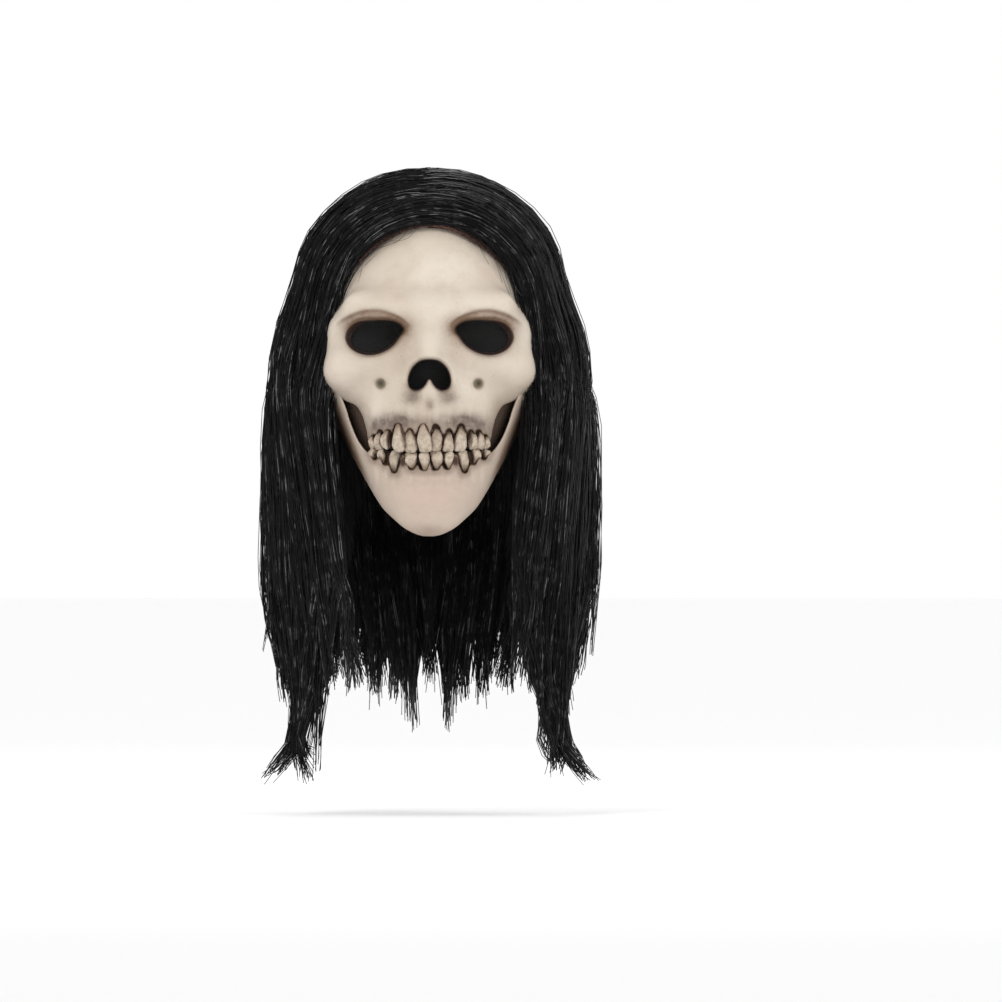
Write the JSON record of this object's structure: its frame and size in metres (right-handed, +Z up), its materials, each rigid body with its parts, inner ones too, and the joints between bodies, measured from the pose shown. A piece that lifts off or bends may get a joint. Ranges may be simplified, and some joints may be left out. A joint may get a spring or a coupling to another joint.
{
  "type": "skull face mask with long hair",
  "caption": "Pull-on latex skull face with a hinged lower jaw, set teeth and long straight hair on a stretch cap.",
  "frame": {"origin": "middle of the jaw's hinge axis, inside the head space between the wearer's ears", "axes": "+Z up along the head, -Y out of the face, +X towards the wearer's left"},
  "size_m": [0.1632, 0.1706, 0.3],
  "materials": {
    "bone_latex": "matte, painted ivory with brown shading",
    "teeth": "satin, stained ivory",
    "gauze": "black open gauze",
    "cheek_lining": "dark brown gauze",
    "rivet": "dull nickel",
    "cap_net": "black stretch net",
    "band": "dark lace band with red-brown stitching",
    "elastic": "black woven elastic",
    "slider": "moulded black plastic",
    "hair": "straight black synthetic hair"
  },
  "bodies": {
    "mask": {"face_skin": "bone_latex", "nose_screen": "gauze", "eye_screen_left": "gauze", "eye_screen_right": "gauze", "upper_tooth_1": "teeth", "upper_tooth_2": "teeth", "upper_tooth_3": "teeth", "upper_tooth_4": "teeth", "upper_tooth_5": "teeth", "upper_tooth_6": "teeth", "upper_tooth_7": "teeth", "upper_tooth_8": "teeth", "upper_tooth_9": "teeth", "upper_tooth_10": "teeth", "upper_tooth_11": "teeth", "upper_tooth_12": "teeth", "jaw_rivet_left": "rivet", "jaw_rivet_right": "rivet", "rivet_cap_left": "rivet", "rivet_cap_right": "rivet", "wig_cap": "cap_net", "hairline_band": "band", "weft_track_1": "cap_net", "weft_track_2": "cap_net", "weft_track_3": "cap_net", "weft_track_4": "cap_net", "weft_track_5": "cap_net", "crown_hair": "hair", "back_hair": "hair", "nape_hair": "hair", "nape_strap": "elastic"},
    "jaw": {"jaw_skin": "bone_latex", "jaw_lining_left": "cheek_lining", "jaw_lining_right": "cheek_lining", "jaw_washer_left": "rivet", "jaw_washer_right": "rivet", "lower_tooth_1": "teeth", "lower_tooth_2": "teeth", "lower_tooth_3": "teeth", "lower_tooth_4": "teeth", "lower_tooth_5": "teeth", "lower_tooth_6": "teeth", "lower_tooth_7": "teeth", "lower_tooth_8": "teeth", "lower_tooth_9": "teeth", "lower_tooth_10": "teeth"},
    "left_lock": {"front_lock_left": "hair"},
    "right_lock": {"front_lock_right": "hair"},
    "slider": {"nape_slider": "slider"}
  },
  "joints": [
    {"name": "jaw_open", "type": "hinge", "parent": "mask", "child": "jaw", "pos_m": [0, 0, 0], "axis": [1, 0, 0], "range_deg": [0, 18], "stiffness_Nm_per_rad": 0.03, "springref_deg": -28.65},
    {"name": "left_lock_swing", "type": "hinge", "parent": "mask", "child": "left_lock", "pos_m": [0.068, 0, 0.012], "axis": [0, -1, 0], "range_deg": [0, 15]},
    {"name": "right_lock_swing", "type": "hinge", "parent": "mask", "child": "right_lock", "pos_m": [-0.068, 0, 0.012], "axis": [0, 1, 0], "range_deg": [0, 15]},
    {"name": "slider_travel", "type": "hinge", "parent": "mask", "child": "slider", "pos_m": [0, 0.018, -0.0466], "axis": [0, 0, 1], "range_deg": [-20, 20]}
  ]
}
